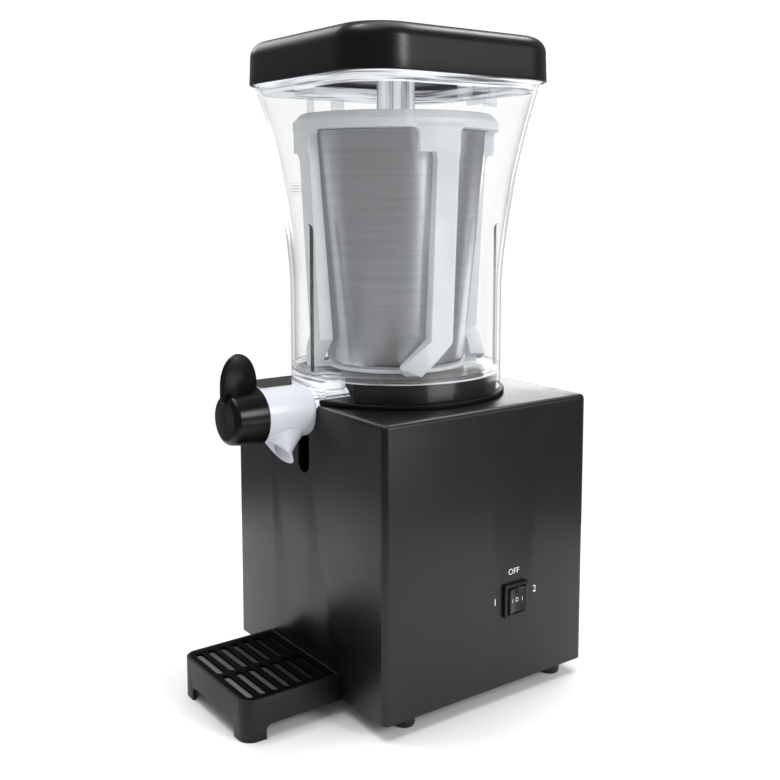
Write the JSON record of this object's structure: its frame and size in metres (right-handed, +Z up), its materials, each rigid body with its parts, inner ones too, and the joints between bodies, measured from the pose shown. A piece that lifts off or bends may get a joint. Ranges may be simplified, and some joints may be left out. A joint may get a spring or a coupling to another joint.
{
  "type": "slush machine",
  "caption": "Table-top slush machine: a black drive housing under a clear jug with a turning paddle cage round a steel ice core, a domed lid, a tap and a drip tray.",
  "frame": {"origin": "middle of the footprint, on the surface the machine stands on", "axes": "+Z up, -Y towards the tap and drip tray, +X towards the side with the switch"},
  "size_m": [0.2098, 0.2708, 0.489],
  "materials": {
    "housing_black": "satin",
    "gloss_black": "gloss",
    "rubber_black": "matte",
    "clear_plastic": "gloss",
    "frosted_plastic": "satin",
    "white_plastic": "satin",
    "core_steel": "brushed",
    "shaft_steel": "satin",
    "screw_steel": "satin",
    "drive_metal": "satin",
    "brass": "satin",
    "silicone": "matte"
  },
  "bodies": {
    "base": {"housing_shell": "housing_black", "bottom_plate": "housing_black", "foot_front_left": "rubber_black", "foot_front_right": "rubber_black", "foot_rear_left": "rubber_black", "foot_rear_right": "rubber_black", "foot_screw_front_left": "screw_steel", "foot_screw_front_right": "screw_steel", "foot_screw_rear_left": "screw_steel", "foot_screw_rear_right": "screw_steel", "cord_gland": "rubber_black", "seat_collar": "gloss_black", "collar_screw_1": "screw_steel", "collar_screw_2": "screw_steel", "collar_screw_3": "screw_steel", "gearbox_case": "drive_metal", "motor_can": "drive_metal", "motor_bracket": "drive_metal", "output_bush": "brass", "switch_casing": "gloss_black", "switch_terminal_1": "brass", "switch_terminal_2": "brass", "switch_terminal_3": "brass"},
    "drive": {"drive_shaft": "shaft_steel", "drive_coupler": "gloss_black"},
    "rocker": {"switch_rocker": "gloss_black"},
    "jug": {"jug_shell": "clear_plastic", "floor_seal": "silicone", "outlet_seal": "silicone", "tap_body": "white_plastic"},
    "jug_shaft": {"jug_shaft": "shaft_steel", "driven_coupler": "gloss_black"},
    "tap_knob": {"tap_knob": "gloss_black", "tap_plug": "white_plastic", "plug_seal": "rubber_black"},
    "paddle_carrier": {"thrust_washer": "white_plastic"},
    "paddle": {"paddle_cage": "frosted_plastic"},
    "core": {"ice_core": "core_steel", "core_gasket": "silicone"},
    "core_cap": {"core_cap": "white_plastic"},
    "lid": {"lid_cover": "gloss_black", "lid_liner": "clear_plastic", "centre_post": "clear_plastic"},
    "tray": {"drip_tray": "housing_black"},
    "grille": {"drip_grille": "gloss_black"}
  },
  "joints": [
    {"name": "paddle_spin", "type": "hinge", "parent": "paddle_carrier", "child": "paddle", "pos_m": [-0.0024, 0.0271, 0.221], "axis": [0, 0, 1], "continuous": true},
    {"name": "drive_spin", "type": "hinge", "parent": "base", "child": "drive", "pos_m": [-0.0024, 0.0271, 0.221], "axis": [0, 0, 1], "continuous": true},
    {"name": "jug_shaft_spin", "type": "hinge", "parent": "jug", "child": "jug_shaft", "pos_m": [-0.0024, 0.0271, 0.221], "axis": [0, 0, 1], "continuous": true},
    {"name": "tap_turn", "type": "hinge", "parent": "jug", "child": "tap_knob", "pos_m": [-0.0024, -0.0874, 0.215], "axis": [0, 1, 0], "range_deg": [0, 90]},
    {"name": "rocker_tilt", "type": "hinge", "parent": "base", "child": "rocker", "pos_m": [0.1011, 0.0606, 0.0758], "axis": [0, 0, 1], "range_deg": [-12, 12]},
    {"name": "jug_lift", "type": "slide", "parent": "base", "child": "jug", "axis": [0, 0, 1], "range_m": [0, 0.07]},
    {"name": "paddle_lift", "type": "slide", "parent": "jug", "child": "paddle_carrier", "axis": [0, 0, 1], "range_m": [0, 0.215]},
    {"name": "core_lift", "type": "slide", "parent": "paddle_carrier", "child": "core", "axis": [0, 0, 1], "range_m": [0, 0.19]},
    {"name": "cap_lift", "type": "slide", "parent": "core", "child": "core_cap", "axis": [0, 0, 1], "range_m": [0, 0.03]},
    {"name": "lid_lift", "type": "slide", "parent": "core_cap", "child": "lid", "axis": [0, 0, 1], "range_m": [0, 0.05]},
    {"name": "tray_pull", "type": "slide", "parent": "base", "child": "tray", "axis": [0, -1, 0], "range_m": [0, 0.06]},
    {"name": "grille_lift", "type": "slide", "parent": "tray", "child": "grille", "axis": [0, 0, 1], "range_m": [0, 0.03]}
  ],
  "couplings": [
    {"joint": "drive_spin", "follows": "paddle_spin", "ratio": 1},
    {"joint": "jug_shaft_spin", "follows": "paddle_spin", "ratio": 1}
  ]
}
